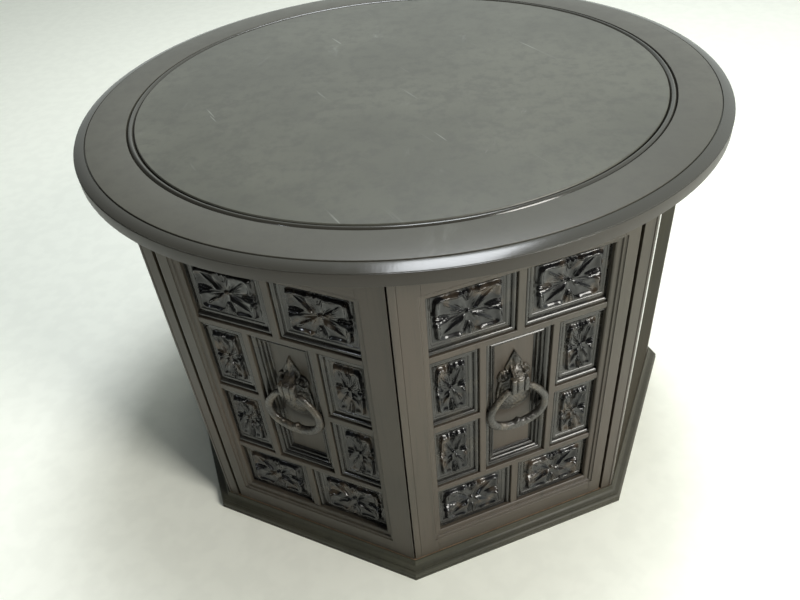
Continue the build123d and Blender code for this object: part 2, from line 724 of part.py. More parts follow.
def pull_screw_with_head():
    z = PULL_LEVEL + PULL_SCREW_RISE
    head = Cylinder(PULL_SCREW_HEAD, PULL_SCREW_HEAD_HEIGHT, rotation=(90, 0, 0))
    placed = Pos(FIELD_MIDDLE, DOOR_THICKNESS + PULL_SCREW_HEAD_HEIGHT / 2, z) * head
    return pull_screw(PULL_SCREW_RADIUS) + placed


# ---------------------------------------------------------------- assembly

def fixed_nodes():
    nodes = {"top_rim": top_rim(), "top_panel": top_panel(), "top_bead": top_bead(),
             "upper_frame": upper_frame(), "top_screws": top_screws(),
             "bottom_board": bottom_board(), "plinth_mouldings": plinth(),
             "shelf": shelf(), "shelf_pins": shelf_pins(), "pivot_pins": pivot_pins(),
             "pivot_washers": pivot_washers(), "magnetic_catches": magnetic_catches(),
             "front_right_post": corner_post(1), "front_left_post": corner_post(7),
             "rear_posts": Compound(children=[corner_post(k) for k in REAR_CORNERS])}
    for k in SIDE_FACES:
        nodes["side_panel_%d" % k] = side_panel(k)
    return nodes


def door_nodes():
    """Pieces that both doors have, in the face frame."""
    back = back_board() - pull_screw(PULL_SCREW_RADIUS)
    return {"hinge_stile": hinge_stile(), "bottom_rail": bottom_rail(), "top_rail": top_rail(),
            "back_board": back, "lattice": lattice(), "tile_borders": tile_borders(),
            "landscape_tiles": landscape_tiles(), "portrait_tiles": portrait_tiles(),
            "centre_border": centre_border(), "centre_panel": centre_panel(),
            "pivot_bushes": pivot_bushes(), "strike": strike(), "pull_plate": pull_plate(),
            "pull_bracket": pull_bracket(), "pull_ring": pull_ring(), "pull_screw": pull_screw_with_head()}


def all_nodes():
    nodes = fixed_nodes()
    for name, shape in door_nodes().items():
        right = on_right(shape)
        nodes["right_" + name] = right
        nodes["left_" + name] = to_left(right)
    nodes["right_meeting_stile"] = on_right(meeting_stile(STRIP_WIDTH))
    nodes["right_meeting_strip"] = on_right(meeting_strip())
    nodes["left_meeting_stile"] = to_left(on_right(meeting_stile(-MEETING_REACH)))
    return nodes


os.makedirs("parts", exist_ok=True)
for name, shape in all_nodes().items():
    export_step(shape, "parts/%s.step" % name)
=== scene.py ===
import json
import math

import bmesh
import bpy
import numpy as np
from mathutils import Matrix, Vector

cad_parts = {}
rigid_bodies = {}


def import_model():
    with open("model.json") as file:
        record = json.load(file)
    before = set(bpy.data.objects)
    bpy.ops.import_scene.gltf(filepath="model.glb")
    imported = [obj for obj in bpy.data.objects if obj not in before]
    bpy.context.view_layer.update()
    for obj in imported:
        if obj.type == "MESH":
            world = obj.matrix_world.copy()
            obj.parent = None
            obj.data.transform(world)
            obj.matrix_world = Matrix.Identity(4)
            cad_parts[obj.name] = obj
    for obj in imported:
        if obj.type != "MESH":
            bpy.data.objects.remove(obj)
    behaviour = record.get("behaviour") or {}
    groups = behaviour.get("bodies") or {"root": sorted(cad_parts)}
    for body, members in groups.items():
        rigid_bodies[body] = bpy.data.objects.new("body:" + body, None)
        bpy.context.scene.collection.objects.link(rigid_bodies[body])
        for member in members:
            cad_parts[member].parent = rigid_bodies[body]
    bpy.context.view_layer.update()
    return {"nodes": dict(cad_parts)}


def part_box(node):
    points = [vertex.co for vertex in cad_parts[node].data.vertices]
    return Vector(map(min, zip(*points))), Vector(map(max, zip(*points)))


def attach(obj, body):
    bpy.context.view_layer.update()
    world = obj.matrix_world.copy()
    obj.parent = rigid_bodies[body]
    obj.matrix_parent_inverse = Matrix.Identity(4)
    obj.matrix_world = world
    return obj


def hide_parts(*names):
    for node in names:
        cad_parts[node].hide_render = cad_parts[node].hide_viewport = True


# Octagonal drum table with two carved doors. Metres, on the floor, front corner towards -Y.

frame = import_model()
nodes = frame["nodes"]

MM = 0.001
HALF = math.radians(22.5)
SIDES = {"right": 1, "left": -1}


# ---------------------------------------------------------------- places and sizes from the frame

def face_frame():
    """Right door's face: X along the face from the front corner, Y into the cabinet, Z up."""
    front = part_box("bottom_board")[0].y
    return Matrix.Translation((0, front, 0)) @ Matrix.Rotation(HALF, 4, "Z")


FACE = face_frame()


def face_box(node):
    """Lowest and highest corner of a right-door node in the face frame, in millimetres."""
    into = FACE.inverted()
    points = np.array([into @ v.co for v in nodes[node].data.vertices]) / MM
    return points.min(0), points.max(0)


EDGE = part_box("top_rim")[1].x / MM
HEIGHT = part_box("top_rim")[1].z / MM
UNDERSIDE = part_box("top_rim")[0].z / MM
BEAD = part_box("top_bead")[1].x / MM
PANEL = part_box("top_panel")[1].x / MM
PANEL_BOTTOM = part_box("top_panel")[0].z / MM
NOSING_START = EDGE - 13.0
BAND_TOP = HEIGHT - 4.6


# ---------------------------------------------------------------- shader helpers

class Value:
    """A number in a shader that takes part in Python expressions."""

    def __init__(self, owner, socket):
        self.owner = owner
        self.socket = socket

    def maths(self, operation, first, second=0.0):
        node = self.owner.node("ShaderNodeMath", {"operation": operation}, {0: first, 1: second})
        return Value(self.owner, node.outputs[0])

    def __add__(self, other):
        return self.maths("ADD", self, other)

    def __radd__(self, other):
        return self.maths("ADD", other, self)

    def __sub__(self, other):
        return self.maths("SUBTRACT", self, other)

    def __rsub__(self, other):
        return self.maths("SUBTRACT", other, self)

    def __mul__(self, other):
        return self.maths("MULTIPLY", self, other)

    def __rmul__(self, other):
        return self.maths("MULTIPLY", other, self)

    def __pow__(self, other):
        return self.maths("POWER", self, other)

    def between(self, low, high):
        """0 below low, 1 above high, smooth in between."""
        settings = {"interpolation_type": "SMOOTHSTEP"}
        inputs = {"Value": self, "From Min": low, "From Max": high}
        node = self.owner.node("ShaderNodeMapRange", settings, inputs)
        return Value(self.owner, node.outputs["Result"])


class ShaderNodes:
    """An emptied shader tree whose nodes are all made by one method."""

    def __init__(self, tree):
        self.tree = tree
        self.tree.nodes.clear()

    def node(self, kind, settings, inputs):
        made = self.tree.nodes.new(kind)
        for name, value in settings.items():
            setattr(made, name, value)
        for name, value in inputs.items():
            self.feed(made.inputs[name], value)
        return made

    def feed(self, socket, value):
        if isinstance(value, Value):
            value = value.socket
        if isinstance(value, bpy.types.NodeSocket):
            self.tree.links.new(value, socket)
        else:
            socket.default_value = value


class Finish(ShaderNodes):
    """A material around one Principled shader."""

    def __init__(self, name, fixed):
        self.material = bpy.data.materials.new(name)
        self.material.use_nodes = True
        super().__init__(self.material.node_tree)
        self.shader = self.node("ShaderNodeBsdfPrincipled", {}, fixed)
        self.node("ShaderNodeOutputMaterial", {}, {"Surface": self.shader.outputs[0]})
        self.place = self.node("ShaderNodeTexCoord", {}, {}).outputs["Object"]

    def turned(self, angle, scale):
        """Object coordinates turned about Z and stretched."""
        inputs = {"Vector": self.place, "Rotation": (0, 0, angle)}
        turn = self.node("ShaderNodeMapping", {}, inputs)
        stretch = self.node("ShaderNodeMapping", {}, {"Vector": turn.outputs[0], "Scale": scale})
        return stretch.outputs[0]

    def noise(self, scale, detail=3.0, place=None, roughness=0.55, distortion=0.0):
        inputs = {"Vector": place or self.place, "Scale": scale, "Detail": detail,
                  "Roughness": roughness, "Distortion": distortion}
        node = self.node("ShaderNodeTexNoise", {}, inputs)
        return Value(self, node.outputs["Fac"])

    def axis(self, name, place=None):
        """One coordinate of the piece, in metres."""
        node = self.node("ShaderNodeSeparateXYZ", {}, {"Vector": place or self.place})
        return Value(self, node.outputs[name])

    def mix(self, factor, first, second):
        node = self.node("ShaderNodeMix", {"data_type": "RGBA"}, {"Factor": factor})
        colours = [s for s in node.inputs if s.type == "RGBA"]
        self.feed(colours[0], first)
        self.feed(colours[1], second)
        return next(s for s in node.outputs if s.type == "RGBA")

    def bump(self, height, distance, strength=1.0, normal=None):
        inputs = {"Height": height, "Distance": distance, "Strength": strength}
        if normal:
            inputs["Normal"] = normal
        return self.node("ShaderNodeBump", {}, inputs).outputs[0]

    def surface(self, colour, roughness, normal):
        self.feed(self.shader.inputs["Base Color"], colour)
        self.feed(self.shader.inputs["Roughness"], roughness)
        self.feed(self.shader.inputs["Normal"], normal)
        return self.material


def rgb(red, green, blue):
    return (red, green, blue, 1.0)


# ---------------------------------------------------------------- finishes

POST_EDGE = 283.2
POLISH_WIDTH = 16.0
POLISH_START = 1.2
POLISH_FADE = 4.0
CASE_TONES = [(0.041, 0.035, 0.026), (0.055, 0.047, 0.034), (0.064, 0.047, 0.035), (0.096, 0.077, 0.057),
              (0.026, 0.022, 0.017), (0.018, 0.016, 0.012)]


def case_wood(name, angle, along, gloss=0.5, dullness=0.30, shade=(1.0, 1.0, 1.0), polished=None):
    """Dark stained wood under satin lacquer; along is the axis of the grain in the turned frame.

    polished is a distance along the door's face, from the front corner, in millimetres: there begins a
    strip as wide as a post where the lacquer is rubbed to a shine.
    """
    finish = Finish(name, {"IOR": 1.5, "Specular IOR Level": gloss, "Coat Roughness": 0.12})
    stretch = [1.0, 1.0, 1.0]
    stretch["xyz".index(along)] = 0.05
    grain_place = finish.turned(angle, stretch)
    grain = finish.noise(260.0, 4.0, grain_place, 0.65)
    streaks = finish.noise(70.0, 3.0, grain_place, 0.6)
    cloud = finish.noise(9.0, 3.0)
    tint = finish.noise(4.0, 1.0)
    rub = finish.noise(22.0, 3.0, grain_place, 0.6)
    # shade multiplies every tone: the base gets a slight tint, and the side panels a darker, greener one
    # that is painted shade.
    tones = [rgb(*(k * c for k, c in zip(shade, tone))) for tone in CASE_TONES]
    stain = finish.mix(cloud.between(0.3, 0.7), tones[0], tones[1])
    stain = finish.mix(tint.between(0.35, 0.65) * 0.6, stain, tones[2])
    stain = finish.mix(rub.between(0.62, 0.80) * 0.5, stain, tones[3])
    stain = finish.mix(streaks.between(0.48, 0.80) * 0.5, stain, tones[4])
    stain = finish.mix(grain.between(0.52, 0.75) * 0.4, stain, tones[5])
    roughness = dullness + 0.12 * cloud + 0.10 * streaks
    if polished:
        x = finish.axis("X")
        behind = finish.axis("Y") - FACE.translation.y
        reach = x.maths("ABSOLUTE", x) * math.cos(HALF) + behind * math.sin(HALF)
        start = reach.between(polished * MM, (polished + POLISH_START) * MM)
        end = polished + POLISH_WIDTH
        shine = start - reach.between(end * MM, (end + POLISH_FADE) * MM)
        finish.feed(finish.shader.inputs["Coat Weight"], shine)
    relief = finish.bump(grain, 0.00014, 0.6)
    orange_peel = finish.bump(finish.noise(420.0, 2.0), 0.00006, 0.35, relief)
    return finish.surface(stain, roughness, orange_peel)


def top_wood():
    """Grey-brown satin top with dusty scuffs and fine scratches.

    The flat ring is browner, the bead and the nosing are dark and glossy, the upright band is dull.
    """
    finish = Finish("top satin lacquer", {"IOR": 1.5})
    grain_place = finish.turned(math.radians(-4), (1.0, 0.07, 1.0))
    grain = finish.noise(300.0, 4.0, grain_place, 0.6)
    mottle = finish.noise(60.0, 5.0, None, 0.65)
    cloud = finish.noise(5.0, 2.0)
    slate = finish.mix(cloud.between(0.35, 0.65), rgb(0.060, 0.060, 0.046), rgb(0.078, 0.078, 0.060))
    slate = finish.mix(mottle.between(0.42, 0.66) * 0.6, slate, rgb(0.047, 0.046, 0.037))
    slate = finish.mix(grain.between(0.5, 0.8) * 0.3, slate, rgb(0.050, 0.050, 0.042))
    scuff_place = finish.turned(math.radians(8), (1.0, 0.30, 1.0))
    scuffs = finish.noise(34.0, 4.0, scuff_place, 0.7, 0.6).between(0.60, 0.80)
    patches = finish.noise(6.5, 2.0).between(0.50, 0.66)
    dust = scuffs * patches
    scratch_place = finish.turned(math.radians(-32), (1.0, 0.045, 1.0))
    scratches = finish.noise(210.0, 1.0, scratch_place, 0.5).between(0.74, 0.78) * patches
    slate = finish.mix(dust * 0.45 + scratches * 0.45, slate, rgb(0.30, 0.31, 0.28))
    out = finish.axis("X") ** 2.0 + finish.axis("Y") ** 2.0
    ring = out.between(((BEAD - 2.0) * MM) ** 2, (BEAD * MM) ** 2)
    slate = finish.mix(ring * 0.55, slate, rgb(0.045, 0.040, 0.031))
    rounding = out.between(((NOSING_START - 0.5) * MM) ** 2, ((NOSING_START + 0.5) * MM) ** 2)
    slate = finish.mix(rounding, slate, rgb(0.036, 0.034, 0.028))
    band = (BAND_TOP * MM - finish.axis("Z")).between(-0.3 * MM, 0.3 * MM)
    slate = finish.mix(band, slate, rgb(0.024, 0.019, 0.014))
    inner = out.between(((PANEL - 0.2) * MM) ** 2, (PANEL * MM) ** 2)
    bead = inner - out.between((BEAD * MM) ** 2, ((BEAD + 0.2) * MM) ** 2)
    slate = finish.mix(bead, slate, rgb(0.036, 0.034, 0.028))
    roughness = 0.36 + 0.10 * mottle + 0.12 * dust - 0.24 * rounding + 0.24 * band - 0.26 * bead
    relief = finish.bump(grain, 0.00010, 0.4)
    return finish.surface(slate, roughness, relief)


def carved_wood(name, dark, rubbed, share):
    """Dark gloss finish of the carving and its frames, rubbed paler over part of it."""
    lacquer = {"IOR": 1.5, "Specular IOR Level": 0.26, "Coat Weight": 0.50, "Coat Roughness": 0.05}
    finish = Finish(name, lacquer)
    thin = finish.noise(38.0, 3.0)
    pool = finish.noise(18.0, 2.0)
    colour = finish.mix(thin.between(0.66 - share, 0.82 - share), dark, rubbed)
    roughness = 0.20 + 0.14 * pool
    relief = finish.bump(finish.noise(500.0, 3.0), 0.00008, 0.4)
    return finish.surface(colour, roughness, relief)


def inner_wood(name, stretch):
    """Plain oiled board inside the cabinet."""
    finish = Finish(name, {"IOR": 1.45})
    place = finish.turned(0.0, stretch)
    grain = finish.noise(120.0, 4.0, place, 0.6)
    cloud = finish.noise(7.0, 2.0)
    colour = finish.mix(grain.between(0.35, 0.7), rgb(0.20, 0.135, 0.082), rgb(0.125, 0.080, 0.048))
    colour = finish.mix(cloud * 0.3, colour, rgb(0.16, 0.105, 0.065))
    return finish.surface(colour, 0.6 + 0.15 * grain, finish.bump(grain, 0.0002, 0.5))


def pull_iron():
    """Cast metal under worn dark lacquer, speckled, rubbed to tan on its high places."""
    finish = Finish("blackened cast metal", {"IOR": 1.55, "Coat Weight": 0.35, "Coat Roughness": 0.10})
    pits = finish.noise(620.0, 3.0)
    dents = finish.noise(260.0, 2.0)
    rub = finish.noise(60.0, 3.0)
    colour = finish.mix(rub.between(0.42, 0.62), rgb(0.032, 0.029, 0.025), rgb(0.084, 0.069, 0.050))
    colour = finish.mix(pits.between(0.50, 0.62) * 0.7, colour, rgb(0.026, 0.024, 0.020))
    finish.feed(finish.shader.inputs["Metallic"], 0.10 + 0.2 * rub)
    roughness = 0.24 + 0.22 * dents
    relief = finish.bump(dents, 0.0020, 1.0)
    return finish.surface(colour, roughness, finish.bump(pits, 0.0005, 0.8, relief))


def metal(name, bright, dark, roughness):
    """Machined small metal: screws, pins, strikes, bushes."""
    finish = Finish(name, {"Metallic": 1.0})
    brush = finish.noise(900.0, 2.0, finish.turned(0.0, (1.0, 1.0, 0.1)))
    stain = finish.noise(150.0, 3.0)
    colour = finish.mix(stain.between(0.4, 0.7), bright, dark)
    return finish.surface(colour, roughness + 0.15 * stain, finish.bump(brush, 0.00003, 0.4))


def catch_plastic():
    finish = Finish("brown moulded plastic", {"IOR": 1.46})
    texture = finish.noise(1400.0, 2.0)
    cloud = finish.noise(60.0, 2.0)
    colour = finish.mix(cloud, rgb(0.035, 0.025, 0.018), rgb(0.055, 0.040, 0.030))
    return finish.surface(colour, 0.5 + 0.1 * cloud, finish.bump(texture, 0.00005, 0.5))


UPRIGHT = case_wood("case wood upright", 0.0, "z")
ACROSS = {"right": case_wood("case wood across right", -HALF, "x"),
          "left": case_wood("case wood across left", HALF, "x")}
# The side panels' tones are darkened and turned greener as painted shade, on top of their duller lacquer.
SIDES_WOOD_PAINTED_SHADE = case_wood("case wood sides painted shade", 0.0, "z", gloss=0.05, dullness=0.75, shade=(0.56, 0.60, 0.54))
BASE_WOOD = case_wood("case wood base", 0.0, "z", gloss=0.4, dullness=0.40, shade=(0.85, 1.0, 0.95))
POSTS_WOOD = case_wood("case wood posts", 0.0, "z", polished=POST_EDGE)
TOP = top_wood()
CARVED = carved_wood("carving gloss lacquer", rgb(0.006, 0.006, 0.007), rgb(0.055, 0.041, 0.029), 0.17)
FRAMES = carved_wood("frame gloss lacquer", rgb(0.021, 0.020, 0.018), rgb(0.039, 0.035, 0.028), 0.16)
INNER = inner_wood("plain inner board", (1.0, 0.06, 1.0))
INNER_UPRIGHT = inner_wood("plain inner board upright", (1.0, 1.0, 0.06))
IRON = pull_iron()
STEEL = metal("zinc plated steel", rgb(0.55, 0.55, 0.56), rgb(0.35, 0.35, 0.36), 0.28)
BRASS = metal("sleeve brass", rgb(0.66, 0.50, 0.24), rgb(0.42, 0.31, 0.15), 0.30)
PLASTIC = catch_plastic()


# ---------------------------------------------------------------- mesh helpers

def rounded(points, radius, steps=3):
    """Closed outline with its corners eased; each point may carry its own radius as a third number."""
    points = [tuple(p) + (radius,) if len(p) == 2 else tuple(p) for p in points]
    result = []
    for i, point in enumerate(points):
        before = np.array(points[i - 1][:2])
        here = np.array(point[:2])
        after = np.array(points[(i + 1) % len(points)][:2])
        reach = min(point[2], 0.45 * np.linalg.norm(before - here), 0.45 * np.linalg.norm(after - here))
        if reach <= 0:
            result.append(tuple(here))
            continue
        start = here + (before - here) / np.linalg.norm(before - here) * reach
        end = here + (after - here) / np.linalg.norm(after - here) * reach
        for k in range(steps + 1):
            t = k / steps
            result.append(tuple((1 - t) ** 2 * start + 2 * t * (1 - t) * here + t * t * end))
    return result


def arc(start, middle, end, steps):
    """Points of a parabola-like curve through three points, the ends included."""
    a, m, b = np.array(start), np.array(middle), np.array(end)
    control = 2 * m - (a + b) / 2
    ts = [k / steps for k in range(steps + 1)]
    return [tuple((1 - t) ** 2 * a + 2 * t * (1 - t) * control + t * t * b) + (0.0,) for t in ts]


class Shape:
    """Points and faces of a piece while it is made, in millimetres."""

    def __init__(self):
        self.points = []
        self.faces = []

    def loft(self, rings, around=True, closed=False, capped=False):
        """Skin over rings of equal length."""
        start = len(self.points)
        count = len(rings[0])
        for ring in rings:
            self.points.extend(tuple(map(float, p)) for p in ring)
        pairs = range(len(rings) if closed else len(rings) - 1)
        steps = range(count if around else count - 1)
        for i in pairs:
            first = start + i * count
            second = start + (i + 1) % len(rings) * count
            for j in steps:
                k = (j + 1) % count
                self.faces.append((first + j, first + k, second + k, second + j))
        if capped:
            last = start + (len(rings) - 1) * count
            self.faces.append(tuple(start + j for j in range(count)))
            self.faces.append(tuple(last + j for j in reversed(range(count))))
        return self

    def framed(self, cell, profile):
        """Picture frame with mitred corners: profile points are (inset, depth)."""
        x0, x1, z0, z1 = cell
        rings = []
        for inset, depth in profile:
            a, b, c, d = x0 + inset, x1 - inset, z0 + inset, z1 - inset
            rings.append([(a, depth, c), (b, depth, c), (b, depth, d), (a, depth, d)])
        return self.loft(rings, closed=True)

    def mesh(self, name, place=None):
        data = bpy.data.meshes.new(name)
        data.from_pydata([tuple(c * MM for c in p) for p in self.points], [], self.faces)
        solid = bmesh.new()
        solid.from_mesh(data)
        bmesh.ops.remove_doubles(solid, verts=solid.verts, dist=1e-6)
        if place is not None:
            bmesh.ops.transform(solid, matrix=place, verts=solid.verts)
        bmesh.ops.recalc_face_normals(solid, faces=solid.faces)
        solid.to_mesh(data)
        solid.free()
        return data


def add_object(name, data):
    piece = bpy.data.objects.new(name, data)
    bpy.context.scene.collection.objects.link(piece)
    return piece


def side_place(side):
    """Face frame of one door; the left door is the right one seen in a mirror."""
    return Matrix.Scale(SIDES[side], 4, (1, 0, 0)) @ FACE


def smooth(piece, angle):
    piece.data.shade_smooth()
    piece.data.set_sharp_from_angle(angle=math.radians(angle))


def dress(piece, material, body, *replaced, angle=32.0):
    """Give a piece its finish, shading and body, and hide the nodes that it stands for."""
    if not piece.data.materials:
        piece.data.materials.append(material)
    smooth(piece, angle)
    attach(piece, body)
    if replaced:
        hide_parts(*replaced)
    return piece


SHARP = math.radians(28)
FLAT = math.radians(1)


def eased(node, width, material, body, angle=30.0, segments=2):
    """Copy of a CAD node with its sharp edges eased."""
    solid = bmesh.new()
    solid.from_mesh(nodes[node].data)
    bmesh.ops.remove_doubles(solid, verts=solid.verts, dist=2e-6)
    bmesh.ops.dissolve_limit(solid, angle_limit=FLAT, verts=solid.verts, edges=solid.edges)
    edges = [e for e in solid.edges if e.is_manifold and e.calc_face_angle() > SHARP]
    bmesh.ops.bevel(solid, geom=edges, offset=width * MM, segments=segments, profile=0.5,
                    affect="EDGES", clamp_overlap=True)
    data = bpy.data.meshes.new(node + "_dressed")
    solid.to_mesh(data)
    solid.free()
    piece = add_object(node + "_dressed", data)
    dress(piece, material, body, node, angle=angle)
    weighted = piece.modifiers.new("weighted normals", "WEIGHTED_NORMAL")
    weighted.keep_sharp = True
    return piece


# ---------------------------------------------------------------- geometry nodes

class Tree:
    """A geometry node group made by one method."""

    def __init__(self, name, inputs):
        self.group = bpy.data.node_groups.new(name, "GeometryNodeTree")
        self.ids = {}
        face = self.group.interface
        face.new_socket("Geometry", in_out="INPUT", socket_type="NodeSocketGeometry")
        for label, kind in inputs.items():
            item = face.new_socket(label, in_out="INPUT", socket_type=kind)
            self.ids[label] = item.identifier
        face.new_socket("Geometry", in_out="OUTPUT", socket_type="NodeSocketGeometry")
        self.entry = self.group.nodes.new("NodeGroupInput")
        self.exit = self.group.nodes.new("NodeGroupOutput")

    def node(self, kind, settings, inputs):
        made = self.group.nodes.new(kind)
        for name, value in settings.items():
            setattr(made, name, value)
        for name, value in inputs.items():
            if isinstance(value, bpy.types.NodeSocket):
                self.group.links.new(value, made.inputs[name])
            else:
                made.inputs[name].default_value = value
        return made

    def finish(self, geometry):
        real = self.node("GeometryNodeRealizeInstances", {}, {"Geometry": geometry})
        painted = self.node("GeometryNodeSetMaterial", {},
                            {"Geometry": real.outputs[0], "Material": self.entry.outputs["Material"]})
        self.group.links.new(painted.outputs[0], self.exit.inputs[0])
        return self


def run_tree(tree, start, values, name):
    """Mesh that a node group makes from a start mesh and its named inputs."""
    carrier = add_object(name + "_carrier", start)
    modifier = carrier.modifiers.new("nodes", "NODES")
    modifier.node_group = tree.group
    for label, value in values.items():
        modifier[tree.ids[label]] = value
    bpy.context.view_layer.update()
    seen = carrier.evaluated_get(bpy.context.evaluated_depsgraph_get())
    data = bpy.data.meshes.new_from_object(seen)
    carrier.modifiers.remove(modifier)
    bpy.data.objects.remove(carrier)
    data.name = name
    return data


def copies_tree():
    """Puts a copy of one object on every point of the start mesh."""
    tree = Tree("copies on points", {"Copy": "NodeSocketObject", "Material": "NodeSocketMaterial"})
    copy = tree.node("GeometryNodeObjectInfo", {}, {"Object": tree.entry.outputs["Copy"]})
    placed = tree.node("GeometryNodeInstanceOnPoints", {},
                       {"Points": tree.entry.outputs["Geometry"], "Instance": copy.outputs["Geometry"]})
    return tree.finish(placed.outputs[0])


def round_tree():
    """Carries a section, drawn as a closed edge loop, round a circle."""
    tree = Tree("moulding round a circle", {"Radius": "NodeSocketFloat", "Segments": "NodeSocketInt",
                                            "Material": "NodeSocketMaterial"})
    section = tree.node("GeometryNodeMeshToCurve", {}, {"Mesh": tree.entry.outputs["Geometry"]})
    sizes = {"Resolution": tree.entry.outputs["Segments"], "Radius": tree.entry.outputs["Radius"]}
    circle = tree.node("GeometryNodeCurvePrimitiveCircle", {}, sizes)
    swept = tree.node("GeometryNodeCurveToMesh", {},
                      {"Curve": circle.outputs[0], "Profile Curve": section.outputs[0]})
    return tree.finish(swept.outputs[0])


COPIES = copies_tree()
ROUND = round_tree()


def points_mesh(places):
    data = bpy.data.meshes.new("points")
    data.from_pydata([tuple(c * MM for c in p) for p in places], [], [])
    return data


def copied(name, single, places, material, transform):
    """Mesh of one piece repeated at several places, then carried to its side."""
    model = add_object(name + "_model", single)
    data = run_tree(COPIES, points_mesh(places), {"Copy": model, "Material": material}, name)
    bpy.data.objects.remove(model)
    data.transform(transform)
    if transform.determinant() < 0:
        data.flip_normals()
    return data


def round_moulding(name, profile, radius, segments, material):
    """Ring of a closed (radius, level) section, in millimetres; the sweep turns the section over."""
    data = bpy.data.meshes.new("section")
    count = len(profile)
    points = [((r - radius) * MM, -z * MM, 0) for r, z in profile]
    data.from_pydata(points, [(i, (i + 1) % count) for i in range(count)], [])
    values = {"Radius": radius * MM, "Segments": segments, "Material": material}
    ring = run_tree(ROUND, data, values, name)
    solid = bmesh.new()
    solid.from_mesh(ring)
    bmesh.ops.remove_doubles(solid, verts=solid.verts, dist=1e-6)
    bmesh.ops.recalc_face_normals(solid, faces=solid.faces)
    solid.to_mesh(ring)
    solid.free()
    return ring


# ---------------------------------------------------------------- round top

NOSING = 14.0
LEDGE = 20.0
TURN_STEPS = 288
PANEL_STEPS = 192


def rim_profile():
    """Flat ring, quirk, rounded nosing, crisp arris and a square band."""
    flat = EDGE - NOSING
    nosing = arc((EDGE - 0.8, HEIGHT - 3.6), (EDGE - 6.6, HEIGHT - 1.7), (flat + 1.4, HEIGHT - 0.7), 12)
    return rounded([
        (flat + 0.9, HEIGHT - 2.4, 0.2), (flat + 0.2, HEIGHT - 2.4, 0.2), (flat, HEIGHT, 0.7),
        (BEAD + 0.5, HEIGHT, 0.9), (BEAD + 0.5, PANEL_BOTTOM), (PANEL - LEDGE, PANEL_BOTTOM),
        (PANEL - LEDGE, UNDERSIDE), (EDGE, UNDERSIDE, 0.7), (EDGE, HEIGHT - 4.5, 0.9),
        (EDGE - 0.8, HEIGHT - 4.3, 0.2)] + nosing, 0.3)


def bead_profile():
    """Half-round bead that stands in its groove."""
    inner, outer = PANEL + 0.4, BEAD
    middle = (inner + outer) / 2
    crown = arc((outer - 0.2, HEIGHT - 3.2), (middle, HEIGHT + 0.5), (inner + 0.2, HEIGHT - 3.2), 14)
    return rounded(crown + [(inner, PANEL_BOTTOM, 0), (outer, PANEL_BOTTOM, 0)], 0)


def inset_panel():
    """Disc with an eased edge."""
    shape = Shape()
    turn = [2 * math.pi * i / PANEL_STEPS for i in range(PANEL_STEPS)]
    rings = []
    for radius, level in ((PANEL, PANEL_BOTTOM), (PANEL, HEIGHT - 1.6), (PANEL - 0.4, HEIGHT - 0.7),
                          (PANEL - 1.2, HEIGHT - 0.1), (PANEL - 3.0, HEIGHT)):
        rings.append([(radius * math.cos(a), radius * math.sin(a), level) for a in turn])
    return shape.loft(rings, capped=True)


def make_top():
    rim = round_moulding("top_rim_dressed", rim_profile(), EDGE, TURN_STEPS, TOP)
    dress(add_object("top_rim_dressed", rim), TOP, "cabinet", "top_rim")
    bead = round_moulding("top_bead_dressed", bead_profile(), EDGE, TURN_STEPS, TOP)
    dress(add_object("top_bead_dressed", bead), TOP, "cabinet", "top_bead")
    panel = add_object("top_panel_dressed", inset_panel().mesh("top_panel_dressed"))
    dress(panel, TOP, "cabinet", "top_panel")


# ---------------------------------------------------------------- cabinet

def plinth_profile(apothem, out, top):
    """Base moulding from the ledge down: cove, fillet, torus and toe."""
    cove = arc((apothem + out - 7.6, 12.6), (apothem + 3.4, 15.4), (apothem + 1.9, top - 0.6), 6)
    torus = arc((apothem + out - 0.6, 4.4), (apothem + out - 1.4, 9.0), (apothem + out - 5.2, 10.8), 8)
    inside = [(apothem + 1.6, top, 0.3), (apothem, top), (apothem, top - 12), (apothem - 12.3, top - 12)]
    foot = [(apothem - 12.3, 0), (apothem + out, 0, 0.4), (apothem + out, 3.2, 0.4),
            (apothem + out - 1.4, 3.6, 0.2)]
    return rounded(inside + foot + torus + [(apothem + out - 5.0, 12.2, 0.3)] + cove, 0.3)


def octagon_ring(reach, level):
    corner = reach / math.cos(HALF)
    angles = [-math.pi / 2 + k * 2 * HALF for k in range(8)]
    return [(corner * math.cos(a), corner * math.sin(a), level) for a in angles]


def make_plinth():
    low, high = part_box("plinth_mouldings")
    body = -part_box("bottom_board")[0].y / MM * math.cos(HALF)
    out = -low.y / MM * math.cos(HALF) - body
    shape = Shape()
    shape.loft([octagon_ring(r, z) for r, z in plinth_profile(body, out, high.z / MM)], closed=True)
    piece = add_object("plinth_dressed", shape.mesh("plinth_dressed"))
    dress(piece, BASE_WOOD, "cabinet", "plinth_mouldings")


def make_carcass():
    for node in ("front_right_post", "front_left_post", "rear_posts"):
        eased(node, 0.35, POSTS_WOOD, "cabinet")
    for k in range(1, 7):
        eased("side_panel_%d" % k, 0.4, SIDES_WOOD_PAINTED_SHADE, "cabinet")
    eased("bottom_board", 0.3, INNER, "cabinet")
    eased("shelf", 0.8, INNER, "cabinet")
    eased("upper_frame", 0.8, INNER, "cabinet")
    eased("shelf_pins", 0.3, STEEL, "cabinet")
    eased("magnetic_catches", 0.6, PLASTIC, "cabinet")
    eased("pivot_pins", 0.3, STEEL, "cabinet")
    eased("pivot_washers", 0.2, BRASS, "cabinet")


# ---------------------------------------------------------------- doors

BAR = 8.0
MIDDLE_BAR = 9.0


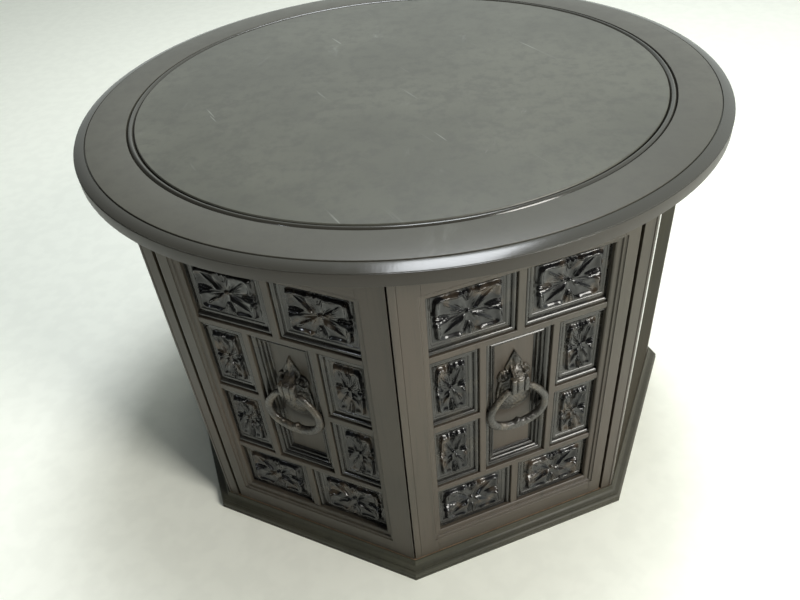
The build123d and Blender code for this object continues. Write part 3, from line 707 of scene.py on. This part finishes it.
def openings():
    """Cells of the tile field in the face frame: wide, tall and centre (left, right, low, high)."""
    low, high = face_box("right_lattice")
    c_low, c_high = face_box("right_centre_border")
    left, right, bottom, top = low[0], high[0], low[2], high[2]
    middle, level = (left + right) / 2, (bottom + top) / 2
    half = MIDDLE_BAR / 2
    centre = (c_low[0], c_high[0], c_low[2], c_high[2])
    wide = [(a, b, c, d) for c, d in ((bottom, centre[2] - BAR), (centre[3] + BAR, top))
            for a, b in ((left, middle - half), (middle + half, right))]
    tall = [(a, b, c, d) for c, d in ((centre[2], level - half), (level + half, centre[3]))
            for a, b in ((left, centre[0] - BAR), (centre[1] + BAR, right))]
    return wide, tall, centre


WIDE, TALL, CENTRE = openings()
FIELD_DEPTH = face_box("right_lattice")[0][1]
FRAME_BACK = face_box("right_lattice")[1][1]
TILE_INSET = 13.0
TILE_LEVEL = 12.5
TILE_GAP = 0.05
GROUND_LEVEL = TILE_LEVEL + 0.8
RELIEF = 1.2
MESH_STEP = {"landscape": 0.62, "portrait": 0.5}
CENTRE_INSET = 15.5
CENTRE_LEVEL = face_box("right_centre_panel")[0][1]


def tile_frame_profile():
    """Section of a tile's frame, (inset, depth): ledge, ovolo, quirk, low bead and slope."""
    d = FIELD_DEPTH
    ovolo = arc((0.8, d + 2.8), (3.0, d + 1.9), (5.3, d + 4.0), 7)
    bead = arc((6.7, d + 5.3), (8.6, d + 5.0), (10.4, d + 5.7), 5)
    ledge = [(0, d + 3.2, 0), (0.5, d + 3.2, 0.2)]
    quirk = [(5.5, d + 5.5, 0.2), (6.4, d + 5.7, 0.2)]
    slope = [(10.7, d + 6.1, 0.2), (TILE_INSET, TILE_LEVEL + 0.9, 0.3)]
    back = [(TILE_INSET, FRAME_BACK, 0), (0, FRAME_BACK, 0)]
    return rounded(ledge + ovolo + quirk + bead + slope + back, 0.2)


def centre_frame_profile():
    """Section of the deep frame around the centre: an ovolo and two beads, each a step lower."""
    d = FIELD_DEPTH
    ovolo = arc((0.8, d + 3.8), (3.2, d + 3.2), (6.0, d + 5.2), 7)
    first = arc((7.4, d + 6.9), (8.8, d + 5.9), (10.0, d + 7.4), 5)
    second = arc((11.2, d + 9.4), (12.4, d + 8.6), (13.6, d + 10.2), 5)
    ledge = [(0, d + 4.2, 0), (0.5, d + 4.2, 0.2)]
    high_step = [(6.3, d + 7.0, 0.2), (7.0, d + 7.4, 0.2)]
    low_step = [(10.3, d + 9.4, 0.2), (10.8, d + 9.8, 0.2)]
    slope = [(13.9, d + 11.8, 0.2), (CENTRE_INSET, CENTRE_LEVEL - 0.2, 0.2)]
    back = [(CENTRE_INSET, FRAME_BACK, 0), (0, FRAME_BACK, 0)]
    return rounded(ledge + ovolo + high_step + first + low_step + second + slope + back, 0.2)


def field_band_profile():
    """Stepped band that runs round the field inside the frame, over the ends of the bars."""
    d = FIELD_DEPTH
    return rounded([(-1.9, d, 0), (-1.9, 1.5, 0.3), (-0.2, 2.0, 0.6), (0.3, 3.7, 0.2), (0.7, 4.0, 0.2),
                    (4.8, 5.0, 0.8), (6.0, 6.2, 0.4), (6.2, d + 3.4, 0), (0, d + 3.4, 0), (0, d, 0)], 0)


def swell(t):
    """Smooth step from 0 to 1."""
    t = np.clip(t, 0, 1)
    return t * t * (3 - 2 * t)


def ridge(distance, width):
    """Soft round ridge, 1 on its crest."""
    return np.exp(-(distance / width) ** 2)


PETAL_HALF = math.radians(36)
FAN_START = 0.46
FAN_LENGTH = 0.50
KNOT_RADIUS = 2.6
KNOT_HEIGHT = 2.9


def petals(angle, from_axis, radius, scale):
    """Four dished petals with a raised vein, a rolled rim and fine ribs, around a small star."""
    from_petal = math.pi / 4 - from_axis
    square = (np.abs(np.cos(angle)) ** 7 + np.abs(np.sin(angle)) ** 7) ** (-1 / 7)
    notch = 0.20 * ridge(from_axis, math.radians(9))
    scallop = 0.022 * np.cos(from_petal * 11)
    edge = 0.985 * square * (1 - notch) + scallop
    rim_gap = (edge - radius) * scale * 0.95
    side_gap = (PETAL_HALF - from_petal) * radius * scale
    along = radius / edge
    across = from_petal * radius * scale

    dish = 0.8 + 1.9 * along ** 3 + 1.1 * (from_petal / PETAL_HALF) ** 2 * swell(along * 2)
    vein_length = swell(along * 5 - 0.4) * (1 - swell(along * 3.2 - 1.8))
    vein = 1.9 * ridge(across, 1.3) * vein_length
    roll = 2.4 * ridge(rim_gap - 4.0, 2.6) * (0.75 + 0.25 * np.cos(from_petal * 9 + 0.5))
    rib_length = swell(along * 5 - 0.5) * (1 - swell(along * 3 - 0.9))
    ribs = 0.70 * np.cos(from_petal / math.radians(17) * 2 * math.pi + 2 * along) * rib_length
    star = (1.1 + 0.7 * np.cos(8 * angle)) * ridge(along - 0.20, 0.12)
    return (dish + roll + ribs + star + vein) * swell(rim_gap / 3.4 + 0.1) * swell(side_gap / 7.0 + 0.2)


def fans(from_axis, radius):
    """A fluted fan between each two petals, widening outwards."""
    t = np.clip((radius - FAN_START) / FAN_LENGTH, 0, 1)
    half_width = 0.03 + 0.24 * t * np.sqrt(1 - t ** 8)
    offset = np.sin(from_axis) * radius / half_width
    inside = np.clip(1 - offset ** 2, 0, 1) * swell(t * 7) * swell((1 - t) * 8)
    flutes = 0.95 * np.cos(offset * 3 * math.pi) * swell(t * 3)
    return (1.5 + 1.9 * t + flutes) * inside ** 0.6


def carving(x, y, half_x, half_y):
    """Height in millimetres of a four-petalled flower with fans between its petals and a knot."""
    u = x / half_x + 0.020 * np.sin(3.1 * y / half_y + 0.8) + 0.012 * np.sin(5 * x / half_x - 2)
    v = y / half_y + 0.022 * np.sin(2.7 * x / half_x + 1.9) + 0.014 * np.sin(6 * y / half_y + 1)
    radius = np.hypot(u, v) + 1e-6
    angle = np.arctan2(v, u)
    from_axis = np.abs((angle + math.pi / 4) % (math.pi / 2) - math.pi / 4)
    petal = petals(angle, from_axis, radius, math.sqrt(half_x * half_y))
    knot = KNOT_HEIGHT * np.sqrt(np.clip(1 - (np.hypot(x, y) / KNOT_RADIUS) ** 2, 0, 1))
    return np.maximum.reduce([petal, fans(from_axis, radius), knot, np.zeros_like(x)])


def hand_cut(x, y, seed):
    """Slow unevenness of work done by hand."""
    dice = np.random.default_rng(seed)
    total = np.zeros_like(x)
    for _ in range(7):
        kx, ky = dice.normal(0, 0.22, 2)
        total = total + np.cos(kx * x + ky * y + dice.uniform(0, 6.28))
    return 0.05 * total


def carved_tile(half_x, half_y, pitch, seed):
    """Closed block whose front is the carving, around its own middle in the face frame."""
    nx, ny = int(2 * half_x / pitch), int(2 * half_y / pitch)
    xs, ys = np.linspace(-half_x, half_x, nx + 1), np.linspace(-half_y, half_y, ny + 1)
    x, y = np.meshgrid(xs, ys)
    height = carving(x, y, half_x, half_y)
    height = height + hand_cut(x, y, seed) * swell(height / 1.5)
    depth = GROUND_LEVEL - RELIEF * height
    shape = Shape()
    front = [[(x[j, i], depth[j, i], y[j, i]) for i in range(nx + 1)] for j in range(ny + 1)]
    shape.loft(front, around=False)
    right, left = [row[-1] for row in front[:-1]], [row[0] for row in front[:0:-1]]
    rim = front[0][:-1] + right + front[-1][:0:-1] + left
    shape.loft([rim, [(px, FRAME_BACK, pz) for px, _, pz in rim]], around=True)
    start = len(shape.points) - len(rim)
    shape.faces.append(tuple(range(start, start + len(rim))))
    return shape


def cell_middle(cell):
    return ((cell[0] + cell[1]) / 2, 0.0, (cell[2] + cell[3]) / 2)


def make_tiles(side):
    body = side + "_door"
    for kind, cells, seed in (("landscape", WIDE, 3), ("portrait", TALL, 8)):
        half_x = (cells[0][1] - cells[0][0]) / 2 - TILE_INSET - TILE_GAP
        half_y = (cells[0][3] - cells[0][2]) / 2 - TILE_INSET - TILE_GAP
        name = "%s_%s_tiles_dressed" % (side, kind)
        single = carved_tile(half_x, half_y, MESH_STEP[kind], seed).mesh(name)
        data = copied(name, single, [cell_middle(c) for c in cells], CARVED, side_place(side))
        dress(add_object(name, data), CARVED, body, "%s_%s_tiles" % (side, kind), angle=50)


def make_frames(side):
    body = side + "_door"
    shape = Shape()
    for cell in WIDE + TALL:
        shape.framed(cell, tile_frame_profile())
    name = side + "_tile_borders_dressed"
    piece = add_object(name, shape.mesh(name, side_place(side)))
    dress(piece, FRAMES, body, side + "_tile_borders")
    name = side + "_centre_border_dressed"
    border = Shape().framed(CENTRE, centre_frame_profile())
    piece = add_object(name, border.mesh(name, side_place(side)))
    dress(piece, FRAMES, body, side + "_centre_border")


def make_field_band(side):
    low, high = face_box("right_lattice")
    name = side + "_field_band"
    band = Shape().framed((low[0], high[0], low[2], high[2]), field_band_profile())
    dress(add_object(name, band.mesh(name, side_place(side))), UPRIGHT, side + "_door", angle=25)


def make_door_frame(side):
    body = side + "_door"
    stiles = ["hinge_stile", "meeting_stile"] + (["meeting_strip"] if side == "right" else [])
    for node in stiles:
        eased("%s_%s" % (side, node), 0.8, UPRIGHT, body)
    for node in ("top_rail", "bottom_rail"):
        eased("%s_%s" % (side, node), 0.5, ACROSS[side], body)
    eased(side + "_lattice", 1.2, UPRIGHT, body, segments=3)
    eased(side + "_centre_panel", 0.2, UPRIGHT, body)
    eased(side + "_back_board", 0.5, INNER_UPRIGHT, body)
    eased(side + "_strike", 0.2, STEEL, body)
    eased(side + "_pivot_bushes", 0.15, BRASS, body)


# ---------------------------------------------------------------- ring pulls
# In the face frame with the ring's axis at zero: X along the face, Y the depth, Z up.

RING_BOX = face_box("right_pull_ring")
PLATE_BOX = face_box("right_pull_plate")
BRACKET_BOX = face_box("right_pull_bracket")
TUBE = 4.3
PULL_MIDDLE = (BRACKET_BOX[0][0] + BRACKET_BOX[1][0]) / 2
PULL_AXIS = RING_BOX[1][2] - TUBE
RING_DEPTH = (RING_BOX[0][1] + RING_BOX[1][1]) / 2


def pull_place(side):
    return side_place(side) @ Matrix.Translation(Vector((PULL_MIDDLE, 0, PULL_AXIS)) * MM)


# Angle in degrees from the horizontal, and distance from the ring's axis to the plate's edge.
PLATE_OUTLINE = [(-90, 44.5), (-76, 43.6), (-64, 41.6), (-54, 36.5), (-42, 28.5), (-25, 22.8), (-8, 19.4),
                 (8, 18.6), (14, 18.6), (20, 20.4), (30, 23.4), (40, 25.0), (50, 26.0), (57, 25.6),
                 (63, 23.6), (69, 28.6), (76, 32.6), (81, 36.2), (85, 40.6), (90, 47.4)]


def plate_reach(angle):
    """Distance from the ring's axis to the plate's edge; both halves are alike."""
    degrees = np.degrees(np.arcsin(np.sin(angle)))
    angles, reaches = zip(*PLATE_OUTLINE)
    return np.interp(degrees, angles, reaches)


def plate_height(x, z, share):
    """Height over the panel: scaled tongue below, two scrolls and a pointed leaf above."""
    rim = 2.0 * np.sqrt(np.clip(1 - (1 - np.clip((1 - share) * 14, 0, 1)) ** 2, 0, 1))
    edge = swell((1 - share) * 5)
    tongue = swell((4 - z) / 14)
    side = np.abs(x)
    dome = 3.2 * tongue * np.sqrt(np.clip(1 - (x / 24) ** 2, 0, 1)) * swell((1 - share) * 2.2)
    column, row = 4.6, 3.4
    line = z / row
    scales = np.zeros_like(x)
    for k in (0, 1):
        level = np.floor(line) + k
        shift = 0.5 * (level % 2)
        across = ((x / column + shift) % 1 - 0.5) * 2
        down = level - line
        scales = np.maximum(scales, (1.15 - 0.45 * (1 - down)) * (np.hypot(across, down * 0.75) < 1) *
                            (1 - 0.5 * across ** 2))
    scales = 1.7 * scales * tongue * swell((1 - share) * 7 - 0.6)
    away = np.hypot(side - 13.0, z - 14.0)
    turn = np.arctan2(z - 14.0, side - 13.0)
    scroll = (1.3 + 1.5 * np.cos(away / 5.2 * 2 * math.pi - turn)) * swell((10.5 - away) / 3)
    knob = 3.2 * np.sqrt(np.clip(1 - (away / 3.0) ** 2, 0, 1))
    leaf = 3.4 * ridge(x, 2.4) * swell((z - 17) / 8)
    ribs = 0.7 * np.cos(side * 1.25 - 0.2 * z) * swell((z - 22) / 6)
    return 0.4 + rim + (dome + scales + scroll + knob + leaf + ribs) * edge


def plate_shape(steps=220, rings=56):
    shape = Shape()
    angle = np.linspace(0, 2 * math.pi, steps, endpoint=False)
    edge = plate_reach(angle)
    limit = (PLATE_BOX[1][0] - PLATE_BOX[0][0]) / 2
    base = PLATE_BOX[1][1]
    loops = []
    for share in np.linspace(1, 0.004, rings):
        x = np.clip(edge * share * np.cos(angle), -limit, limit)
        z = edge * share * np.sin(angle)
        loops.append(np.dstack([x, base - plate_height(x, z, share), z])[0])
    skirt = loops[0].copy()
    skirt[:, 1] = base
    return shape.loft([skirt] + loops, capped=True)


# Depth, level and thickness along the rolls; depth and level along the saddle's back.
BRACKET_PATH = [(9.5, -2.0, 3.0), (5.0, -3.4, 3.6), (1.5, -2.9, 5.0), (0.6, 0.5, 6.2), (0.6, 6.0, 6.4),
                (0.6, 13.6, 6.4), (1.4, 16.2, 6.4), (4.0, 17.0, 6.0), (7.5, 17.2, 5.0)]
SADDLE_PATH = [(1.9, 15.0), (3.2, 16.8), (6.5, 18.6), (10.5, 21.0), (14.0, 24.0), (18.0, 27.5)]
SADDLE_WIDTH = 6.4
SADDLE_FOOT = 8.0


def smooth_line(points, rounds=3):
    """Open line with its corners cut again and again."""
    points = [np.array(p, float) for p in points]
    for _ in range(rounds):
        cut = [points[0]]
        for a, b in zip(points, points[1:]):
            cut += [0.75 * a + 0.25 * b, 0.25 * a + 0.75 * b]
        points = cut + [points[-1]]
    return points


def roll_section(steps=11):
    """Front of three rolls, the middle one wider, and a flat back: (across -1 to 1, outward 0 to 1)."""
    front = []
    for first, last in ((-1.0, -0.42), (-0.42, 0.42), (0.42, 1.0)):
        for i in range(steps):
            t = i / (steps - 1) * 2 - 1
            across = (first + last) / 2 + t * (last - first) / 2
            front.append((across, 0.45 + 0.55 * max(0.0, 1 - abs(t * 0.985) ** 5) ** 0.5))
    return front + [(1.0, 0.0), (-1.0, 0.0)]


def bracket_shape():
    """Three rolls in front of the ring's bar, and a narrower saddle that climbs back to the plate."""
    shape = Shape()
    path = smooth_line(BRACKET_PATH)
    half = (BRACKET_BOX[1][0] - BRACKET_BOX[0][0]) / 2
    loops = []
    for i, (depth, level, thick) in enumerate(path):
        before, after = path[max(i - 1, 0)], path[min(i + 1, len(path) - 1)]
        run = np.array([after[0] - before[0], after[1] - before[1]])
        run = run / np.linalg.norm(run)
        outward = np.array([-run[1], run[0]])
        section = [(across, thick * (0.9 - height)) for across, height in roll_section()]
        loops.append([(a * half, depth - outward[0] * back, level - outward[1] * back)
                      for a, back in section])
    shape.loft(loops, capped=True)
    crown = [math.cos(math.pi * k / 10) for k in range(11)]
    loops = []
    for depth, level in smooth_line(SADDLE_PATH):
        width = SADDLE_WIDTH - 0.07 * (depth - 2)
        top = [(width * a, depth, level + 1.1 * (1 - a * a)) for a in crown]
        loops.append(top + [(-width, depth, SADDLE_FOOT), (width, depth, SADDLE_FOOT)])
    shape.loft(loops, capped=True)
    return shape


# Right half of the ring from its bar down to the middle: across, level and half thickness.
RING_PATH = [(11.8, 0.0, 3.6), (16.5, -1.8, 4.0), (22.0, -8.0, 4.3), (27.5, -15.0, 4.4),
             (32.4, -23.0, 4.6), (33.9, -31.0, 4.8), (33.0, -40.0, 5.0), (27.5, -48.5, 5.2),
             (18.0, -54.0, 5.4), (8.0, -56.6, 5.5), (0.0, -56.7, 5.7)]
RING_FLATNESS = 0.86
RING_REACH = 4.2
BAR_RADIUS = 2.9
BAR_HALF = 12.0


def ring_tree():
    """Sweeps a round section along a line; its thickness is a named attribute of the line's points."""
    tree = Tree("bar along a line", {"Material": "NodeSocketMaterial", "Sides": "NodeSocketInt"})
    curve = tree.node("GeometryNodeMeshToCurve", {}, {"Mesh": tree.entry.outputs["Geometry"]})
    thick = tree.node("GeometryNodeInputNamedAttribute", {"data_type": "FLOAT"}, {"Name": "thick"})
    section = tree.node("GeometryNodeCurvePrimitiveCircle", {},
                        {"Resolution": tree.entry.outputs["Sides"], "Radius": 1.0})
    swept = tree.node("GeometryNodeCurveToMesh", {},
                      {"Curve": curve.outputs[0], "Profile Curve": section.outputs[0],
                       "Scale": thick.outputs["Attribute"], "Fill Caps": True})
    return tree.finish(swept.outputs[0])


BAR_ALONG = ring_tree()


def ring_mesh(name):
    """Stirrup ring: slanting arms, a heavy bottom with a cusp on its inside, hammered all over."""
    right = smooth_line(RING_PATH)
    line = right + [np.array((-x, z, t)) for x, z, t in right[-2::-1]]
    data = bpy.data.meshes.new("line")
    links = [(i, i + 1) for i in range(len(line) - 1)]
    data.from_pydata([(x * MM, 0, z * MM) for x, z, _ in line], links, [])
    thick = data.attributes.new("thick", "FLOAT", "POINT")
    thick.data.foreach_set("value", [t * MM for _, _, t in line])
    ring = run_tree(BAR_ALONG, data, {"Material": IRON, "Sides": 24}, name)
    for vertex in ring.vertices:
        x, y, z = (c / MM for c in vertex.co)
        cusp = 3.0 * math.exp(-(x / 3.4) ** 2) * (z > -56.5) * (z < -48)
        dents = 0.16 * (math.sin(1.9 * x + 0.7 * z) * math.sin(1.3 * z - 0.9 * x + 2.0 * y))
        stretch = 1 + dents / TUBE
        reach = math.copysign(min(abs(y) * RING_FLATNESS * stretch, RING_REACH), y)
        vertex.co = Vector((x, RING_DEPTH + reach, z + cusp + dents)) * MM
    return ring


def ring_bar():
    """Straight bar that turns in the bracket."""
    turn = [2 * math.pi * k / 24 for k in range(24)]
    section = [(RING_DEPTH + BAR_RADIUS * math.cos(a), BAR_RADIUS * math.sin(a)) for a in turn]
    return Shape().loft([[(x, y, z) for y, z in section] for x in (-BAR_HALF, BAR_HALF)], capped=True)


def make_pull(side):
    body = side + "_door"
    place = pull_place(side)
    for node, shape in (("pull_plate", plate_shape()), ("pull_bracket", bracket_shape())):
        name = "%s_%s_dressed" % (side, node)
        piece = add_object(name, shape.mesh(name, place))
        dress(piece, IRON, body, "%s_%s" % (side, node), angle=48)
    eased(side + "_pull_screw", 0.2, STEEL, body)
    ring = ring_mesh(side + "_pull_ring_dressed")
    ring.transform(place)
    if place.determinant() < 0:
        ring.flip_normals()
    node = side + "_pull_ring"
    dress(add_object(node + "_dressed", ring), IRON, side + "_ring", node, angle=60)
    bar = add_object(side + "_ring_bar", ring_bar().mesh(side + "_ring_bar", place))
    dress(bar, IRON, side + "_ring", node)


# ---------------------------------------------------------------- stage, light and camera

def plain(name, colour, roughness):
    finish = Finish(name, {"Roughness": roughness})
    speck = finish.noise(30.0, 2.0)
    darker = rgb(*(c * 0.97 for c in colour[:3]))
    tone = finish.mix(speck.between(0.4, 0.6), colour, darker)
    finish.feed(finish.shader.inputs["Base Color"], tone)
    return finish.material


def make_floor():
    data = bpy.data.meshes.new("floor")
    reach = 6.0
    data.from_pydata([(-reach, -reach, 0), (reach, -reach, 0), (reach, reach, 0), (-reach, reach, 0)], [],
                     [(0, 1, 2, 3)])
    floor = add_object("floor", data)
    data.materials.append(plain("pale floor", rgb(0.95, 0.96, 0.87), 0.6))


def aimed(location, target):
    return (Vector(target) - Vector(location)).to_track_quat("-Z", "Y")


# Name, place, target, size, power and colour.
LAMPS = [
    ("window light", (2.08, -1.62, 1.85), (0.05, -0.25, 0.25), (0.95, 1.35), 84.0, (1.0, 0.98, 0.92)),
    ("side window", (-1.75, -1.75, 1.65), (-0.05, -0.30, 0.25), (0.12, 0.22), 2.6, (0.86, 0.92, 1.0)),
    ("ceiling light", (0.22, 0.62, 2.60), (0.22, 0.62, 0.0), (0.75, 1.36), 52.0, (0.92, 0.96, 1.0)),
]


def make_lamp(name, location, target, size, power, colour):
    lamp = bpy.data.lights.new(name, "AREA")
    lamp.shape = "RECTANGLE"
    lamp.size, lamp.size_y = size
    lamp.energy = power
    lamp.color = colour
    holder = bpy.data.objects.new(name, lamp)
    bpy.context.scene.collection.objects.link(holder)
    holder.location = location
    holder.rotation_mode = "QUATERNION"
    holder.rotation_quaternion = aimed(location, target)


ROOM_TINT = rgb(0.93, 1.0, 0.96)
ROOM_DIM = 0.03
ROOM_BRIGHT = 0.92
RIGHT_SHARE = 0.80
DIM_TO_BRIGHT = (-0.32, 0.8)
BACKDROP = rgb(0.97, 0.98, 0.96)


def make_world():
    """Soft room: pale walls behind and to the right, dim in front and to the left."""
    world = bpy.data.worlds.new("room")
    bpy.context.scene.world = world
    world.use_nodes = True
    room = ShaderNodes(world.node_tree)
    ray = room.node("ShaderNodeTexCoord", {}, {}).outputs["Generated"]
    split = room.node("ShaderNodeSeparateXYZ", {}, {"Vector": ray})
    lean = RIGHT_SHARE * Value(room, split.outputs["X"]) + Value(room, split.outputs["Y"])
    strength = ROOM_DIM + (ROOM_BRIGHT - ROOM_DIM) * lean.between(*DIM_TO_BRIGHT)
    walls = room.node("ShaderNodeBackground", {}, {"Color": ROOM_TINT, "Strength": strength})
    white = room.node("ShaderNodeBackground", {}, {"Color": BACKDROP, "Strength": 1.0})
    seen = room.node("ShaderNodeLightPath", {}, {}).outputs["Is Camera Ray"]
    mix = room.node("ShaderNodeMixShader", {}, {0: seen, 1: walls.outputs[0], 2: white.outputs[0]})
    room.node("ShaderNodeOutputWorld", {}, {"Surface": mix.outputs[0]})


# Lens in millimetres, eye in metres, turns from looking along +Y.
LENS = 32.16
EYE = (0.05777, -0.85652, 0.84239)
YAW, PITCH, ROLL = (math.radians(a) for a in (-5.3696, 39.19, -5.4868))


def make_camera():
    data = bpy.data.cameras.new("camera")
    data.sensor_width = 36.0
    data.lens = LENS
    camera = bpy.data.objects.new("camera", data)
    bpy.context.scene.collection.objects.link(camera)
    ahead = Vector((math.sin(YAW) * math.cos(PITCH), math.cos(YAW) * math.cos(PITCH), -math.sin(PITCH)))
    level = Vector((math.cos(YAW), -math.sin(YAW), 0))
    up = level.cross(ahead)
    right = math.cos(ROLL) * level + math.sin(ROLL) * up
    top = math.cos(ROLL) * up - math.sin(ROLL) * level
    camera.matrix_world = Matrix.Translation(EYE) @ Matrix((right, top, -ahead)).transposed().to_4x4()
    bpy.context.scene.camera = camera


make_top()
make_plinth()
make_carcass()
for side in SIDES:
    make_door_frame(side)
    make_field_band(side)
    make_frames(side)
    make_tiles(side)
    make_pull(side)
eased("top_screws", 0.3, STEEL, "cabinet")
make_floor()
make_world()
for lamp in LAMPS:
    make_lamp(*lamp)
make_camera()

bpy.context.scene.view_settings.view_transform = "Standard"
